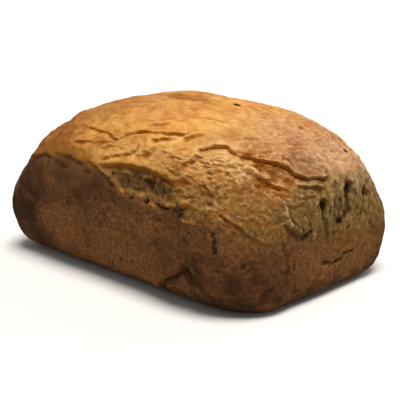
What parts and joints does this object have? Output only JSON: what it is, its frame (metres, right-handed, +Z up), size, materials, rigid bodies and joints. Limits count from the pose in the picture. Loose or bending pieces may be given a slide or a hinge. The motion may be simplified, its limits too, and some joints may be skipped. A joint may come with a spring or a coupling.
{
  "type": "rye bread loaf",
  "caption": "Tin-baked rye bread loaf with flared walls, a domed golden top, folded creases and torn shoulders.",
  "frame": {"origin": "middle of the flat base, at the bottom centre of the loaf's bounding box", "axes": "+X along the loaf towards its torn right end, +Y towards its back, +Z up"},
  "size_m": [0.217, 0.145, 0.1055],
  "materials": {
    "crust": "dry matte baked crust, golden on top and brown on the walls"
  },
  "bodies": {
    "root": {"loaf": "crust"}
  },
  "joints": []
}
